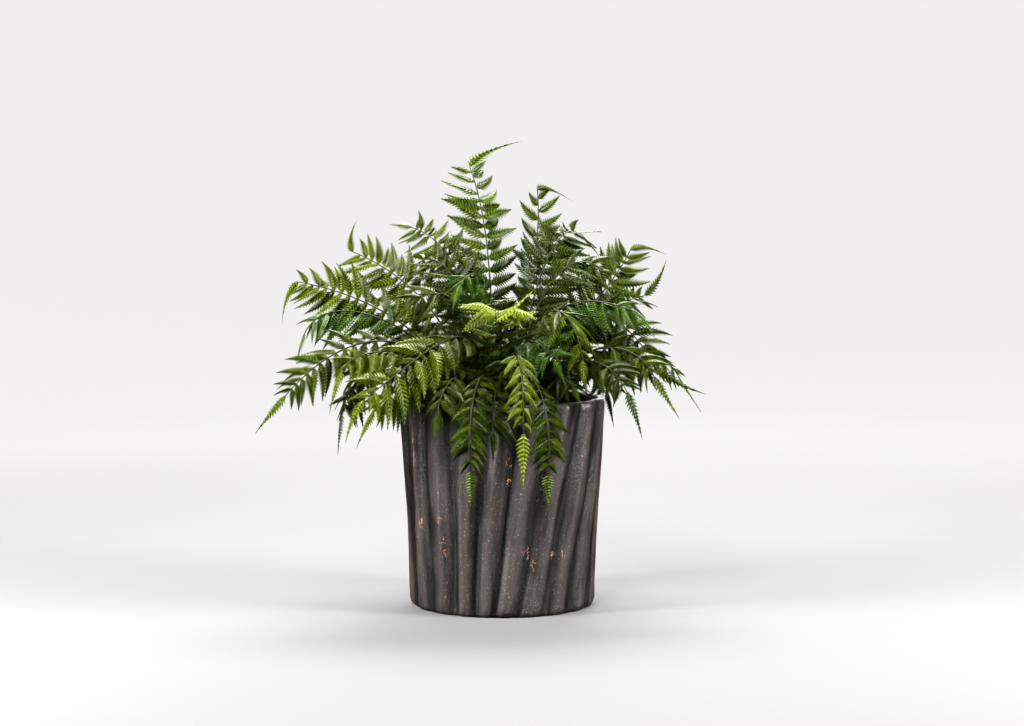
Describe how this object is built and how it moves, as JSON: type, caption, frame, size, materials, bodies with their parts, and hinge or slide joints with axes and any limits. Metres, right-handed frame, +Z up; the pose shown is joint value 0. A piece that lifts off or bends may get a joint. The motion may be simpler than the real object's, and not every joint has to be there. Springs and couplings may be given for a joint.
{
  "type": "potted fern",
  "caption": "Arching fern with narrow toothed leaflets, standing in soil in a round pot with slanting flutes and a dark glaze.",
  "frame": {"origin": "centre of the pot's flat foot, on the surface that it stands on", "axes": "+Z up through the pot; -Y is the front, the side that the picture shows; +X is the right of the front"},
  "size_m": [0.433, 0.3593, 0.4572],
  "materials": {
    "glaze": "satin, speckled and pitted, with worn copper-coloured chips",
    "soil": "rough, crumbly bark and peat",
    "leaf": "soft satin, mottled green with lighter veins"
  },
  "bodies": {
    "root": {"pot": "glaze", "soil": "soil", "frond_top_centre": "leaf", "frond_top_right": "leaf", "frond_arch_right": "leaf", "frond_upper_right": "leaf", "frond_far_right": "leaf", "frond_right_long": "leaf", "frond_right_drooping": "leaf", "frond_right_low": "leaf", "frond_upper_left": "leaf", "frond_top_left": "leaf", "frond_far_left": "leaf", "frond_left_arch": "leaf", "frond_left_long": "leaf", "frond_left_low": "leaf", "frond_front_left_long": "leaf", "frond_left_under": "leaf", "frond_front_left_low": "leaf", "frond_front_rim_centre": "leaf", "frond_front_rim_left": "leaf", "frond_front_hanging_left": "leaf", "frond_front_hanging_pale": "leaf", "frond_front_hanging_right": "leaf", "frond_centre_pale": "leaf", "frond_front_face": "leaf", "frond_centre_blue": "leaf", "frond_front_right_arch": "leaf", "frond_front_right": "leaf", "frond_back_right": "leaf", "frond_back_right_low": "leaf", "frond_back_centre": "leaf", "frond_back_centre_low": "leaf", "frond_back_left": "leaf", "frond_back_left_low": "leaf", "frond_heart_left": "leaf", "frond_heart_right": "leaf", "frond_heart_low_left": "leaf", "frond_heart_low_right": "leaf", "frond_heart_low_back": "leaf", "frond_heart_back": "leaf", "frond_heart_low_front": "leaf", "frond_front_rim_right": "leaf"}
  },
  "joints": []
}
